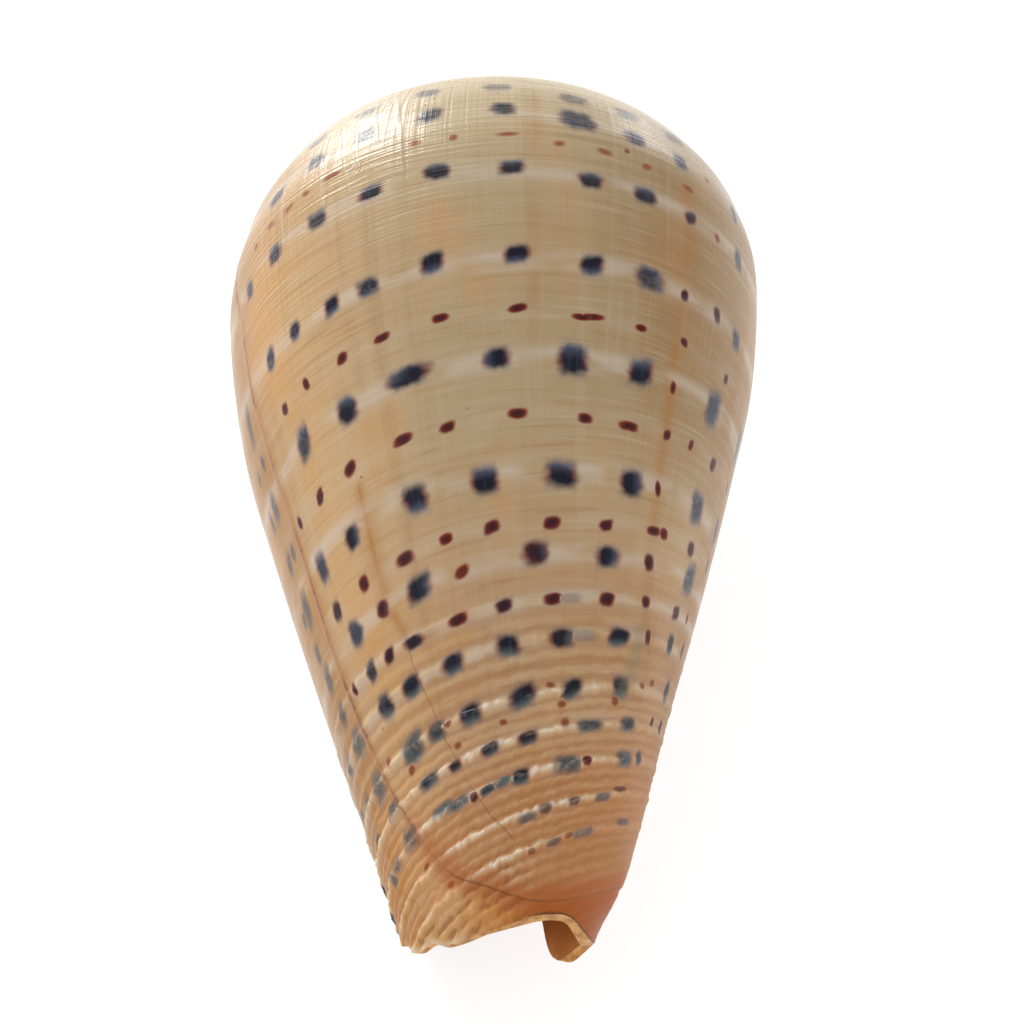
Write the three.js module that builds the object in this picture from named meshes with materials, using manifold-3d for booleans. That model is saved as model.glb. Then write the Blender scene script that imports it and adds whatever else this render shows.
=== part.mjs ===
// A cone shell lying on its aperture side, narrow end towards -Y, in millimetres with +Z up.
// The last whorl, the flat spire and the spiral ribs are one sheet that grows by the same factor each turn.
import * as THREE from "three";
import { ParametricGeometry } from "three/addons/geometries/ParametricGeometry.js";
import { mergeVertices } from "three/addons/utils/BufferGeometryUtils.js";
import Module from "manifold-3d";

// Growth of the sheet. Turns are degrees round the coil axis from the middle of the back, + towards the lip.
const whorlGrowth = 1.367; // size of a whorl against the one before it
const lipTurn = 132;
const bodyTurn = lipTurn - 360; // where the last whorl starts, under the lip
const spireWhorls = 5;
const apexRise = 5; // the oldest whorls stand this much above the flat spire
const riseRadius = 24; // the spire is flat outside this radius

// Profile of the sheet at the middle of the back: radius from the coil axis, drop from the spire.
const shoulder = new THREE.Vector2(28.7, 1.4);
const widest = new THREE.Vector2(34.5, 17.7);
const profile = new THREE.SplineCurve([
  shoulder.clone().divideScalar(whorlGrowth), // suture, on the shoulder of the whorl before
  new THREE.Vector2(25.0, 2.0), // ramp, a little hollow
  shoulder,
  new THREE.Vector2(32.1, 6.3),
  new THREE.Vector2(33.5, 10.4),
  widest,
  new THREE.Vector2(32.5, 33.5),
  new THREE.Vector2(28.6, 48.1),
  new THREE.Vector2(22.5, 68.3),
  new THREE.Vector2(16.8, 85.6),
  new THREE.Vector2(11.7, 100.8),
  new THREE.Vector2(3.9, 119.0),
  new THREE.Vector2(0.0, 128.0), // on the coil axis
]);
const columellaRadius = 0.8; // the sheet never closes tighter than this

// Spiral ribs on the narrow third, as drops at the middle of the back.
const ribStart = 72;
const ribEnd = 131;
const ribPitch = 2.6;
const ribHeight = 0.4;
const ribFade = 14; // distance over which the ribs rise to their full height

// Anterior margin: drop of the edge from the spire, at turns from under the lip round to the lip.
const marginTurns = [bodyTurn, -185, -150, -115, -80, -40, 0, 30, 63, 88, 110, lipTurn];
const marginDrops = [99, 102, 104.4, 106.3, 105.3, 105.5, 105.5, 106.7, 107.6, 105, 102, 99];
const marginRing = 4; // radius inside which the cut evens out
const marginReach = 45;
const endDrop = 114; // the sheet is drawn to here, past the margin

// Hollow behind the lip.
const lipWall = 1.5; // wall at the lip
const innerWall = 2.6; // wall deep inside
const wallTurn = 150; // the wall reaches its full thickness this far back from the lip
const marginThinning = 0.4; // share of the wall lost towards the anterior margin
const ceilingDrop = 4.4; // of the hollow under the ramp, at the middle of the back
const floorDrop = 116; // the hollow is drawn to here, past the margin
const cavityTurn = 340; // how far the hollow goes back from the lip
const parietalCut = 0.15; // the hollow is cut this far into the whorl before
const mouthTurn = 4; // the hollow is drawn this far in front of the lip
const mouthGap = 1; // and there keeps this far off the whorl before
const axisGap = 0.6; // inner radius of the hollow at the coil axis
const slitWidth = 0.3; // least width of the hollow
const rowCrowding = 1.3; // rows of the hollow lie closer together near its ceiling

// Round hollow along the coil axis at the anterior end, a cone with its point up.
const canalRadius = 2.4;
const canalLength = 18;
const canalDrop = 108; // of its wide end

// Resting pose, found from the three points that touch the table: two on the lip, one on the last whorl.
const restPitch = 12.0; // slope of the coil axis
const restRoll = -1.9; // turn about the coil axis

// Mesh density.
const turnSteps = 54;
const rampRows = 2;
const shoulderRows = 7;
const flankRows = 8;
const cavitySteps = 30;
const cavityRows = 12;
const canalSides = 16;
const weldDistance = 1e-3;
const searchSteps = 40;

const wasm = await Module();
wasm.setup();

const { degToRad, lerp, clamp, smoothstep } = THREE.MathUtils;
const growthRate = Math.log(whorlGrowth) / 360;
const scaleAt = (turn) => Math.exp(growthRate * turn);
const lastPoint = profile.points.length - 1;
const shoulderShare = profile.points.indexOf(shoulder) / lastPoint;
const widestShare = profile.points.indexOf(widest) / lastPoint;

// Radius of the profile at a drop below the shoulder.
function radiusAtDrop(drop) {
  let low = shoulderShare;
  let high = 1;
  for (let i = 0; i < searchSteps; i++) {
    const middle = (low + high) / 2;
    if (profile.getPoint(middle).y < drop) low = middle;
    else high = middle;
  }
  return profile.getPoint(low).x;
}

// A point at a turn round the coil axis, which is Z with the spire up.
function placed(turn, radius, drop, target) {
  const angle = degToRad(turn);
  return target.set(-radius * Math.sin(angle), -radius * Math.cos(angle), -drop);
}

function ribAt(drop) {
  const rise = smoothstep(drop, ribStart - ribPitch, ribStart + ribFade);
  const wave = 0.5 + 0.5 * Math.cos((2 * Math.PI * (drop - ribStart)) / ribPitch);
  return ribHeight * rise * wave;
}

// The sheet below the shoulder, for a drop measured at the middle of the back.
function flankPoint(turn, drop, target) {
  const scale = scaleAt(turn);
  const kept = Math.min(drop, endDrop / scale);
  const radius = Math.max(scale * radiusAtDrop(kept) + ribAt(kept), columellaRadius);
  return placed(turn, radius, scale * kept, target);
}

// The sheet from the suture over the shoulder, by share of the profile.
function rampPoint(turn, share, target) {
  const scale = scaleAt(turn);
  const point = profile.getPoint(share);
  const radius = scale * point.x;
  const rise = apexRise * Math.max(0, 1 - radius / riseRadius) ** 2;
  return placed(turn, radius, scale * point.y - rise, target);
}

// One welded solid from a geometry whose edges meet.
function solidFrom(geometry) {
  geometry.deleteAttribute("normal");
  geometry.deleteAttribute("uv");
  const welded = mergeVertices(geometry, weldDistance);
  const corners = welded.index.array;
  const kept = [];
  for (let i = 0; i < corners.length; i += 3) {
    const [a, b, c] = corners.slice(i, i + 3);
    if (a !== b && b !== c && c !== a) kept.push(a, b, c);
  }
  const vertProperties = welded.attributes.position.array;
  return new wasm.Manifold(new wasm.Mesh({ numProp: 3, vertProperties, triVerts: new Uint32Array(kept) }));
}

// Rows of the last whorl from the suture down, each a function that places a point at a turn.
const rows = [];
const addRampRow = (share) => rows.push((turn, target) => rampPoint(turn, share, target));
const addFlankRow = (drop) => rows.push((turn, target) => flankPoint(turn, drop, target));
for (let i = 0; i < rampRows; i++) addRampRow((shoulderShare * i) / rampRows);
for (let i = 0; i <= shoulderRows; i++) addRampRow(lerp(shoulderShare, widestShare, i / shoulderRows));
for (let i = 1; i <= flankRows; i++) addFlankRow(lerp(widest.y, ribStart - ribPitch, i / flankRows));
for (let drop = ribStart - ribPitch / 2; drop < ribEnd; drop += ribPitch / 2) addFlankRow(drop);

// Outer solid: spire ramps, last whorl, the wall under the lip, and a plain end past the margin.
const spireRows = spireWhorls * rampRows;
const outerLines = spireRows + rows.length + 1;
function outerPoint(u, v, target) {
  const column = Math.round(u * (turnSteps + 1));
  const line = Math.round(v * outerLines);
  const around = Math.min(column / turnSteps, 1);
  const turn = bodyTurn + 360 * around;
  if (line === 0) return placed(0, 0, -apexRise, target);
  if (line === outerLines) return placed(0, 0, endDrop, target);
  if (line <= spireRows) {
    const whorl = Math.floor((line - 1) / rampRows) - spireWhorls;
    const inward = 1 - ((line - 1) % rampRows) / rampRows;
    const grown = whorl === -spireWhorls ? around : 1; // the first whorl starts at no width
    return rampPoint(turn + 360 * whorl, shoulderShare * (1 - inward * grown), target);
  }
  const row = line - 1 - spireRows;
  if (column > turnSteps) return rows[Math.max(row, rampRows)](bodyTurn, target);
  return rows[row](turn, target);
}
const outer = solidFrom(new ParametricGeometry(outerPoint, turnSteps + 1, outerLines));

// Hollow: a closed ring of points at each turn, down along the whorl before and up inside the wall.
function wallAt(turn) {
  return lerp(lipWall, innerWall, clamp((lipTurn - turn) / wallTurn, 0, 1));
}
const ringLines = 2 * cavityRows + 2;
function cavityPoint(u, v, target) {
  const step = Math.round(u * (cavitySteps + 2));
  const line = Math.round(v * ringLines) % ringLines;
  const along = clamp((step - 1) / cavitySteps, 0, 1);
  const turn = lipTurn + mouthTurn - (cavityTurn + mouthTurn) * along;
  const scale = scaleAt(turn);
  const onParietal = line <= cavityRows;
  const share = (onParietal ? line : ringLines - 1 - line) / cavityRows;
  const drop = lerp(ceilingDrop, floorDrop / scale, share ** rowCrowding);
  const before = (scale / whorlGrowth) * radiusAtDrop(drop * whorlGrowth);
  const parietal = Math.max(before + (turn > lipTurn ? mouthGap : -parietalCut), axisGap);
  const wall = wallAt(turn) * (1 - marginThinning * share);
  const inside = Math.max(scale * radiusAtDrop(drop) - wall, axisGap + slitWidth);
  const closed = step === 0 || step === cavitySteps + 2;
  if (closed) return placed(turn, (parietal + inside) / 2, scale * drop, target);
  return placed(turn, onParietal ? parietal : inside, scale * drop, target);
}
const cavity = solidFrom(new ParametricGeometry(cavityPoint, cavitySteps + 2, ringLines));

// What lies past the anterior margin.
const marginCurve = new THREE.CubicInterpolant(marginTurns, marginDrops, 1);
const pastRings = [
  (turn, drop, target) => placed(0, 0, marginDrops[0], target),
  (turn, drop, target) => placed(turn, marginRing, drop, target),
  (turn, drop, target) => placed(turn, marginReach, drop, target),
  (turn, drop, target) => placed(turn, marginReach, drop + marginReach, target),
  (turn, drop, target) => placed(0, 0, endDrop + marginReach, target),
];
const lastRing = pastRings.length - 1;
function pastMargin(u, v, target) {
  const turn = bodyTurn + 360 * u;
  return pastRings[Math.round(v * lastRing)](turn, marginCurve.evaluate(turn)[0], target);
}
const endCut = solidFrom(new ParametricGeometry(pastMargin, turnSteps, lastRing));

const canalCone = new THREE.ConeGeometry(canalRadius, canalLength, canalSides);
canalCone.rotateX(Math.PI / 2);
canalCone.translate(0, 0, canalLength / 2 - canalDrop);
const canal = solidFrom(canalCone);

const carved = outer.subtract(cavity).subtract(endCut).subtract(canal).getMesh();
const geometry = new THREE.BufferGeometry();
geometry.setAttribute("position", new THREE.BufferAttribute(carved.vertProperties, 3));
geometry.setIndex(new THREE.BufferAttribute(carved.triVerts, 1));

// Lay the shell down, with the middle of its footprint at the origin.
geometry.rotateZ(degToRad(restRoll));
geometry.rotateX(degToRad(restPitch - 90));
geometry.computeBoundingBox();
const box = geometry.boundingBox;
const middle = box.getCenter(new THREE.Vector3());
geometry.translate(-middle.x, -middle.y, -box.min.z);

const shellMaterial = new THREE.MeshStandardMaterial({ color: 0xd2b184, roughness: 0.25, metalness: 0 });
const shell = new THREE.Mesh(geometry, shellMaterial);
shell.name = "shell";

const coneShell = new THREE.Group();
coneShell.add(shell);
export default coneShell;
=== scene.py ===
import math
import random
from types import SimpleNamespace

import bpy
import numpy as np
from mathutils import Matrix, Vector
from mathutils.bvhtree import BVHTree


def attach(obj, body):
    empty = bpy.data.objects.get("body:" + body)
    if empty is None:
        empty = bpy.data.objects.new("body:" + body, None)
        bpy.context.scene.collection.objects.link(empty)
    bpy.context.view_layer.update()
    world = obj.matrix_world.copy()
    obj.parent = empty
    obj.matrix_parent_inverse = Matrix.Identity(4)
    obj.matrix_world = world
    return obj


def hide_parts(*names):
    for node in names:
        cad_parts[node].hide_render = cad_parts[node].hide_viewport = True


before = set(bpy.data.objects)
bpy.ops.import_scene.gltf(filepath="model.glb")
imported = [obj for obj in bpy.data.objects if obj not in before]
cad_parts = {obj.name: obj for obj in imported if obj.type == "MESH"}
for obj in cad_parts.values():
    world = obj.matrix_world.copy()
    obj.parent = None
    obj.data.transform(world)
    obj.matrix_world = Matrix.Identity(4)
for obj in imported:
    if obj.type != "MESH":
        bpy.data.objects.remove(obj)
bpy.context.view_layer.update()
print("frame loaded")

mm = 0.001


def screen(red, green, blue):
    # a colour as seen on a screen, 0 to 255, made linear
    values = np.array([red, green, blue]) / 255
    linear = np.where(values <= 0.04045, values / 12.92, ((values + 0.055) / 1.055) ** 2.4)
    return tuple(float(v) for v in linear) + (1.0,)


class Wire:  # a node's output that can be used in sums
    def __init__(self, bench, socket):
        self.bench = bench
        self.socket = socket

    def __add__(self, other):
        return self.bench.math("ADD", self, other)

    def __sub__(self, other):
        return self.bench.math("SUBTRACT", self, other)

    def __mul__(self, other):
        return self.bench.math("MULTIPLY", self, other)

    def __truediv__(self, other):
        return self.bench.math("DIVIDE", self, other)

    def __rsub__(self, other):
        return self.bench.math("SUBTRACT", other, self)

    def __rtruediv__(self, other):
        return self.bench.math("DIVIDE", other, self)

    __radd__ = __add__
    __rmul__ = __mul__


class Bench:  # builds a node tree, for geometry or for a material
    def __init__(self, tree):
        self.tree = tree

    def feed(self, socket, value):
        if isinstance(value, Wire):
            self.tree.links.new(value.socket, socket)
        else:
            socket.default_value = value

    def node(self, kind, inputs=None, **settings):
        made = self.tree.nodes.new(kind)
        for name, value in settings.items():
            setattr(made, name, value)
        for key, value in (inputs or {}).items():
            self.feed(made.inputs[key], value)
        return made

    def take(self, made, key=0):
        return Wire(self, made.outputs[key])

    def math(self, operation, *values):
        made = self.tree.nodes.new("ShaderNodeMath")
        made.operation = operation
        for socket, value in zip(made.inputs, values):
            self.feed(socket, value)
        return self.take(made)

    def clamp(self, value):
        return self.math("MINIMUM", self.math("MAXIMUM", value, 0), 1)

    def blend(self, share, first, second):
        return first + (second - first) * share

    def span(self, value, low, high, toLow=0.0, toHigh=1.0):
        inputs = {"Value": value, "From Min": low, "From Max": high, "To Min": toLow, "To Max": toHigh}
        return self.take(self.node("ShaderNodeMapRange", inputs, interpolation_type="SMOOTHSTEP"))

    def vector(self, x, y, z=0.0):
        return self.take(self.node("ShaderNodeCombineXYZ", {"X": x, "Y": y, "Z": z}))

    def parts(self, vector):
        made = self.node("ShaderNodeSeparateXYZ", {"Vector": vector})
        return [self.take(made, axis) for axis in ("X", "Y", "Z")]

    def noise(self, vector, scale, detail=2.0, rough=0.5):
        inputs = {"Vector": vector, "Scale": scale, "Detail": detail, "Roughness": rough}
        return self.take(self.node("ShaderNodeTexNoise", inputs), "Fac")

    def tint(self, share, first, second):
        made = self.node("ShaderNodeMix", data_type="RGBA")
        for key, value in (("Factor_Float", share), ("A_Color", first), ("B_Color", second)):
            socket = next(s for s in made.inputs if s.identifier == key)
            self.feed(socket, value)
        return Wire(self, next(s for s in made.outputs if s.identifier == "Result_Color"))

    def read(self, name, key="Fac"):
        return self.take(self.node("ShaderNodeAttribute", attribute_name=name), key)


# The shell is one sheet that grows by the same factor each turn. Sizes in millimetres. Turns are degrees
# round the coil axis from the middle of the back, + towards the lip; drops are from the spire down.
shellForm = {
    "whorlGrowth": 1.367,
    "lipTurn": 132.0,
    "spireWhorls": 5,
    "apexRise": 5.0,
    "riseRadius": 24.0,
    "columellaRadius": 0.8,
    "profile": [  # radius and drop at the middle of the back
        (25.0, 2.0), (28.7, 1.4), (32.1, 6.3), (33.5, 10.4), (34.5, 17.7), (32.5, 33.5), (28.6, 48.1),
        (22.5, 68.3), (16.8, 85.6), (12.1, 100.8), (8.9, 107.0), (3.9, 119.0), (0.0, 128.0),
    ],
    "shoulderPoint": 1,  # of the profile
    "spireTilt": 1.3,  # how much higher the left shoulder is than the middle
    "tiltFade": 12.0,
    "margin": [  # turn and drop of the anterior edge, from under the lip round to the lip
        (-228, 96), (-185, 98.4), (-170, 101.4), (-160, 103.6), (-150, 104.8), (-135, 105.7), (-120, 106),
        (-105, 105.4), (-90, 105), (-75, 105.4), (-55, 106), (-40, 105.8), (-20, 104.9), (-10, 105),
        (0, 105.3), (30, 106.7), (54, 107.2), (64, 106.4), (74, 106.4), (88, 104.4), (110, 102), (132, 99),
    ],
    "flare": 0.9,  # how far the right side bulges near the narrow end
    "flareTurn": -78.0,
    "flareTurnWidth": 30.0,
    "flareDrop": 99.5,
    "flareDropWidth": 3.2,
    "tipDrop": 99.0,
    "lipWall": 1.5,
    "innerWall": 2.6,
    "wallTurn": 150.0,
    "marginThinning": 0.46,
    "edgeThinning": 0.85,  # on the sharp left part of the edge
    "ceilingDrop": 4.4,
    "floorDrop": 116.0,
    "cavityTurn": 340.0,
    "parietalCut": 0.15,
    "mouthTurn": 4.0,
    "mouthGap": 1.0,
    "axisGap": 0.6,
    "slitWidth": 0.3,
    "canalRadius": 2.4,
    "canalLength": 18.0,
    "canalDrop": 108.0,
    "restPitch": 12.0,  # slope of the coil axis
    "restRoll": -1.9,  # turn about the coil axis
    "axisOrigin": (2.698, 50.959, 33.088),  # where the coil axis meets the spire, as the shell lies
    "columns": 316,
    "rampRows": 6,
    "bodyRows": 56,
    "ribRows": 246,
    "ribTop": 68.0,  # drop where the closer rows start
    "cavitySteps": 120,
    "cavityRows": 40,
}

# Spiral ribs towards the narrow end: drop at the middle of the back, height and half width.
ribSet = {
    "main": [(73.0, 0.16, 0.42), (77.1, 0.2, 0.44), (83.0, 0.38, 0.42), (87.1, 0.42, 0.4), (91.0, 0.46, 0.38),
             (95.0, 0.44, 0.37), (98.6, 0.42, 0.37)],
    "fine": [(75.2, 0.06, 0.42), (79.0, 0.08, 0.38), (80.9, 0.1, 0.36), (84.6, 0.14, 0.3), (85.8, 0.15, 0.3),
             (88.4, 0.16, 0.28), (89.6, 0.17, 0.28), (92.3, 0.17, 0.27), (93.6, 0.18, 0.27),
             (96.2, 0.18, 0.27), (97.3, 0.18, 0.27)],
    "closeFrom": 99.9,  # below this the ribs are alike and close
    "closePitch": 1.25,
    "closeHeight": 0.24,
    "end": 131.0,
    "wander": 0.7,  # how far a rib strays from its line
    "beading": 0.9,  # how much its height varies along it
    "crumple": 0.8,  # unevenness of the newest growth
    "rightShare": 0.3,  # of the height that is left on the worn right side
}


def splineThrough(points, steps=60):
    known = np.array(points, dtype=float)
    padded = np.vstack([known[:1], known, known[-1:]])
    share = np.linspace(0, 1, steps, endpoint=False)[:, None]
    runs = []
    for i in range(len(known) - 1):
        before, start, end, after = padded[i:i + 4]
        leave = (end - before) / 2
        arrive = (after - start) / 2
        cubic = 2 * start - 2 * end + leave + arrive
        square = 3 * end - 3 * start - 2 * leave - arrive
        runs.append(cubic * share ** 3 + square * share ** 2 + leave * share + start)
    return np.vstack(runs + [known[-1:]])


shoulder = np.array(shellForm["profile"][shellForm["shoulderPoint"]])
suture = shoulder / shellForm["whorlGrowth"]  # on the shoulder of the whorl before
splineSteps = 60
profileLine = splineThrough([tuple(suture)] + shellForm["profile"], splineSteps)
shoulderIndex = splineSteps * (shellForm["shoulderPoint"] + 1)
profileLength = np.concatenate([[0], np.cumsum(np.linalg.norm(np.diff(profileLine, axis=0), axis=1))])
shoulderLength = profileLength[shoulderIndex]
flank = profileLine[shoulderIndex:]
flankLength = profileLength[shoulderIndex:] - shoulderLength
growthRate = math.log(shellForm["whorlGrowth"]) / 360
bodyTurn = shellForm["lipTurn"] - 360


def ribHeights(drops):
    height = np.zeros_like(drops)
    for drop, rise, half in ribSet["main"] + ribSet["fine"]:
        height = np.maximum(height, rise * np.exp(-((drops - drop) / half) ** 2))
    phase = (drops - ribSet["closeFrom"]) / ribSet["closePitch"]
    close = ribSet["closeHeight"] * (0.5 + 0.5 * np.cos(2 * np.pi * phase)) ** 1.5
    return np.maximum(height, np.where(drops > ribSet["closeFrom"] - 0.6, close, 0))


# Three lines in one curve: the profile, its radius by drop, and the rib height by drop.
def makeGrowthRules():
    data = bpy.data.curves.new("growthRules", "CURVE")
    data.dimensions = "3D"
    lineStep = 0.1
    flankDrops = np.arange(shoulder[1], shellForm["profile"][-1][1], lineStep)
    flankRadii = np.interp(flankDrops, flank[:, 1], flank[:, 0])
    ribDrops = np.arange(shellForm["ribTop"], ribSet["end"], lineStep)
    lines = [
        (profileLine[:, 0], profileLine[:, 1], np.ones(len(profileLine))),
        (flankDrops, np.zeros_like(flankDrops), flankRadii),
        (ribDrops, np.zeros_like(ribDrops), ribHeights(ribDrops)),
    ]
    for across, along, radius in lines:
        spline = data.splines.new("POLY")
        spline.points.add(len(across) - 1)
        spline.points.foreach_set("co", np.column_stack([across, along, 0 * across, 0 * across + 1]).ravel())
        spline.points.foreach_set("radius", radius)
    rules = bpy.data.objects.new("growthRules", data)
    bpy.context.scene.collection.objects.link(rules)
    ranges = {"flank": (flankDrops[0], flankDrops[-1]), "ribs": (ribDrops[0], ribDrops[-1])}
    return rules, ranges


growthRules, ruleRanges = makeGrowthRules()


# The growth tree: the outer sheet as one closed solid, less the hollow behind the lip and the canal.
def makeGrowthTree():
    tree = bpy.data.node_groups.new("coneShellGrowth", "GeometryNodeTree")
    bench = Bench(tree)
    tree.interface.new_socket(name="Geometry", in_out="OUTPUT", socket_type="NodeSocketGeometry")
    sizes = {
        "Whorl growth": "whorlGrowth", "Lip turn": "lipTurn", "Apex rise": "apexRise",
        "Rise radius": "riseRadius", "Columella radius": "columellaRadius", "Tip drop": "tipDrop",
        "Lip wall": "lipWall", "Inner wall": "innerWall", "Wall turn": "wallTurn",
        "Margin thinning": "marginThinning", "Edge thinning": "edgeThinning",
        "Ceiling drop": "ceilingDrop", "Floor drop": "floorDrop", "Cavity turn": "cavityTurn",
        "Parietal cut": "parietalCut", "Canal radius": "canalRadius", "Canal length": "canalLength",
        "Canal drop": "canalDrop", "Spire tilt": "spireTilt", "Tilt fade": "tiltFade",
        "Flare": "flare", "Flare turn": "flareTurn", "Flare drop": "flareDrop",
        "Flare turn width": "flareTurnWidth", "Flare drop width": "flareDropWidth",
    }
    ribSizes = {
        "Rib wander": "wander", "Rib beading": "beading", "Crumple": "crumple", "Right share": "rightShare",
    }
    values = {}
    for names, source in ((sizes, shellForm), (ribSizes, ribSet)):
        for name, key in names.items():
            socket = tree.interface.new_socket(name=name, socket_type="NodeSocketFloat")
            values[socket.identifier] = source[key]
    for name, value in (("Rules", growthRules), ("Outer glaze", shellGlaze), ("Inner glaze", innerGlaze)):
        kind = "NodeSocketObject" if name == "Rules" else "NodeSocketMaterial"
        values[tree.interface.new_socket(name=name, socket_type=kind).identifier] = value
    given = tree.nodes.new("NodeGroupInput")
    size = {socket.name: Wire(bench, socket) for socket in given.outputs if socket.name}
    rules = bench.take(bench.node("GeometryNodeObjectInfo", {"Object": size["Rules"]}), "Geometry")
    ruleRadius = bench.take(bench.node("GeometryNodeInputRadius"))
    rate = bench.math("LOGARITHM", size["Whorl growth"], math.e) / 360
    firstTurn = size["Lip turn"] - 360

    def sample(factor, index, key):
        inputs = {"Curves": rules, "Value": ruleRadius, "Factor": bench.clamp(factor), "Curve Index": index}
        return bench.take(bench.node("GeometryNodeSampleCurve", inputs, mode="FACTOR"), key)

    def byDrop(drop, index, name):
        low, high = ruleRanges[name]
        return sample((drop - low) / (high - low), index, "Value")

    def grid(across, down):
        inputs = {"Size X": across, "Size Y": down, "Vertices X": across + 1, "Vertices Y": down + 1}
        mesh = bench.take(bench.node("GeometryNodeMeshGrid", inputs), "Mesh")
        x, y, _ = bench.parts(bench.take(bench.node("GeometryNodeInputPosition")))
        return mesh, bench.math("ROUND", x + across / 2), bench.math("ROUND", y + down / 2)

    def store(mesh, name, value, domain="POINT"):
        inputs = {"Geometry": mesh, "Name": name, "Value": value}
        made = bench.node("GeometryNodeStoreNamedAttribute", inputs, data_type="FLOAT", domain=domain)
        return bench.take(made)

    def put(mesh, turn, radius, drop):
        angle = turn * (math.pi / 180)
        place = bench.vector(0 - radius * bench.math("SINE", angle), 0 - radius * bench.math("COSINE", angle),
                             0 - drop)
        moved = bench.take(bench.node("GeometryNodeSetPosition", {"Geometry": mesh, "Position": place}))
        weld = {"Geometry": moved, "Distance": 1e-4}
        return bench.take(bench.node("GeometryNodeMergeByDistance", weld))

    def marginAt(turn):
        low = 95.0
        high = 110.0
        made = bench.node("ShaderNodeFloatCurve", {"Value": (turn - firstTurn) / 360})
        points = made.mapping.curves[0].points
        edge = [((turn - bodyTurn) / 360, (drop - low) / (high - low)) for turn, drop in shellForm["margin"]]
        for point, (x, y) in zip(points, (edge[0], edge[-1])):
            point.location = (x, y)
        for x, y in edge[1:-1]:
            points.new(x, y)
        made.mapping.update()
        return low + bench.take(made) * (high - low)

    # ribs stray and swell along their length, are worn on the right, and crumple in the newest growth
    def ribRise(turn, drop):
        stray = (bench.noise(bench.vector(turn * 0.35, drop), 0.55, 3.0, 0.6) - 0.5) * size["Rib wander"] * 2
        swell = bench.noise(bench.vector(turn * 0.5, drop * 0.8, 7.0), 0.9, 2.0, 0.6) - 0.5
        bead = 1 + swell * 2 * size["Rib beading"]
        worn = bench.span(turn, -60, -8, size["Right share"], 1.0)
        wornTip = 1 - bench.span(turn, 12, -12) * bench.span(drop, 96, 101) * 0.7
        rib = byDrop(drop + stray, 2, "ribs") * bead * worn * wornTip
        uneven = bench.noise(bench.vector(turn * 0.13, drop * 1.1, 3.0), 1.0, 3.0, 0.6) - 0.5
        newest = bench.span(drop, 96, 101) * bench.span(turn, -5, 20) * (1 - bench.span(turn, 95, 115))
        return rib + uneven * size["Crumple"] * newest

    def flareRise(turn, fullDrop):
        offTurn = (turn - size["Flare turn"]) / size["Flare turn width"]
        offDrop = (fullDrop - size["Flare drop"]) / size["Flare drop width"]
        return size["Flare"] * bench.math("EXPONENT", 0 - offTurn * offTurn - offDrop * offDrop)

    # how far the apex stands up, and how far the shoulder leans up on the left
    def spireRise(turn, girth, fullDrop):
        rise = bench.math("MAXIMUM", 1 - girth / size["Rise radius"], 0)
        lean = bench.math("SINE", turn * (math.pi / 180)) * girth / shoulder[0]
        lean = lean * bench.math("EXPONENT", 0 - fullDrop / size["Tilt fade"]) * size["Spire tilt"]
        return size["Apex rise"] * rise * rise, lean

    # apex, spire ramps, last whorl, end cap; the extra column is the wall across the mouth
    def outerSheet():
        columns = shellForm["columns"]
        rampRows = shellForm["rampRows"]
        bodyRows = shellForm["bodyRows"]
        ribRows = shellForm["ribRows"]
        spireLines = shellForm["spireWhorls"] * rampRows
        lines = spireLines + rampRows + bodyRows + ribRows + 3
        shoulderFactor = float(shoulderLength / profileLength[-1])
        ribLength = shoulderLength + np.interp(shellForm["ribTop"], flank[:, 1], flankLength)
        ribFactor = float(ribLength / profileLength[-1])
        mesh, column, line = grid(columns + 1, lines)
        around = bench.math("MINIMUM", column / columns, 1)
        onWall = bench.math("GREATER_THAN", column, columns + 0.5)
        onSpire = bench.math("LESS_THAN", line, spireLines + 0.5)
        notApex = bench.math("GREATER_THAN", line, 0.5)
        onCap = bench.math("GREATER_THAN", line, lines - 1.5)
        onTip = bench.math("GREATER_THAN", line, lines - 0.5)
        ring = (line - 1) / rampRows
        ringStart = bench.math("FLOOR", ring)
        whorl = bench.math("MINIMUM", ringStart - shellForm["spireWhorls"], 0)
        firstWhorl = bench.math("LESS_THAN", whorl, 0.5 - shellForm["spireWhorls"])
        grown = 1 - firstWhorl * (1 - around)  # the first whorl starts at no width
        spireFactor = (1 - (1 - (ring - ringStart)) * grown) * shoulderFactor
        row = bench.math("MAXIMUM", line - (1 + spireLines), onWall * rampRows)
        rowFactor = bench.clamp(row / rampRows) * shoulderFactor
        rowFactor = rowFactor + bench.clamp((row - rampRows) / bodyRows) * (ribFactor - shoulderFactor)
        rowFactor = rowFactor + bench.clamp((row - (rampRows + bodyRows)) / ribRows) * (1 - ribFactor)
        factor = bench.blend(onSpire, rowFactor, spireFactor)
        onMouth = onWall * (1 - onSpire)
        turn = firstTurn + 360 * (around * (1 - onMouth) + whorl * onSpire)
        scale = bench.math("EXPONENT", rate * turn)

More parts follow.
